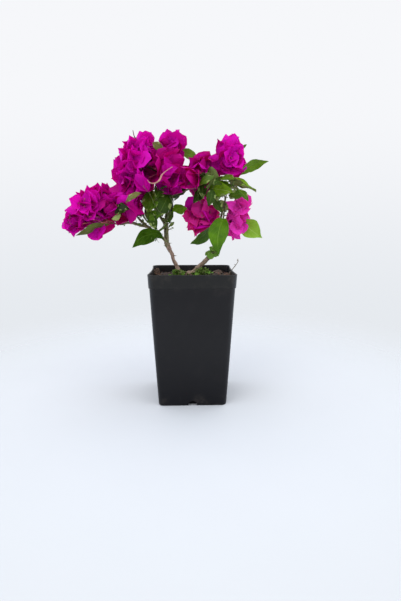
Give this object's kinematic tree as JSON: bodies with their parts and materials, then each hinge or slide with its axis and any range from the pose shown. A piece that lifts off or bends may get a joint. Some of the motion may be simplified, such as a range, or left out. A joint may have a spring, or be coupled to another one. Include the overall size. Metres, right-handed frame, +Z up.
{
  "type": "potted bougainvillea shrub",
  "caption": "Young flowering bougainvillea with an open, spreading crown of magenta bracts on two woody stems, in a tall square black nursery pot that stands on its flat base.",
  "frame": {"origin": "middle of the pot's flat underside", "axes": "+Z up, -Y towards the front, +X to the right of someone facing the front; the pot's sides face along X and Y"},
  "size_m": [0.309, 0.1566, 0.4063],
  "materials": {
    "pot": "satin",
    "soil": "matte",
    "bark": "matte",
    "bracts": "satin",
    "leaves": "satin"
  },
  "bodies": {
    "root": {"basal_leaves_left": "leaves", "basal_leaves_right": "leaves", "bough_back_left": "bark", "bough_back_middle": "bark", "bough_back_right": "bark", "bough_centre": "bark", "bough_left": "bark", "bough_left_outer": "bark", "bough_right": "bark", "bracts_back_left": "bracts", "bracts_back_middle": "bracts", "bracts_back_right": "bracts", "bracts_crown_left": "bracts", "bracts_crown_middle": "bracts", "bracts_far_left": "bracts", "bracts_front_middle": "bracts", "bracts_front_right": "bracts", "bracts_inner_left": "bracts", "bracts_low_left": "bracts", "bracts_low_middle": "bracts", "bracts_low_right": "bracts", "bracts_right_middle": "bracts", "bracts_tip_left": "bracts", "bracts_top": "bracts", "bracts_top_left": "bracts", "bracts_top_right": "bracts", "leaf_far_left": "leaves", "leaf_far_right": "leaves", "leaf_front": "leaves", "leaf_low_left": "leaves", "leaf_middle": "leaves", "leaf_top_middle": "leaves", "leaf_top_right": "leaves", "leaf_under_right": "leaves", "leaves_back_middle": "leaves", "leaves_back_right": "leaves", "leaves_centre": "leaves", "leaves_inner_right": "leaves", "leaves_outer_right": "leaves", "leaves_stem_tuft": "leaves", "pot": "pot", "soil": "soil", "stem_left": "bark", "stem_right": "bark", "twig_centre": "bark", "twig_low_middle": "bark", "twig_low_right": "bark"}
  },
  "joints": []
}
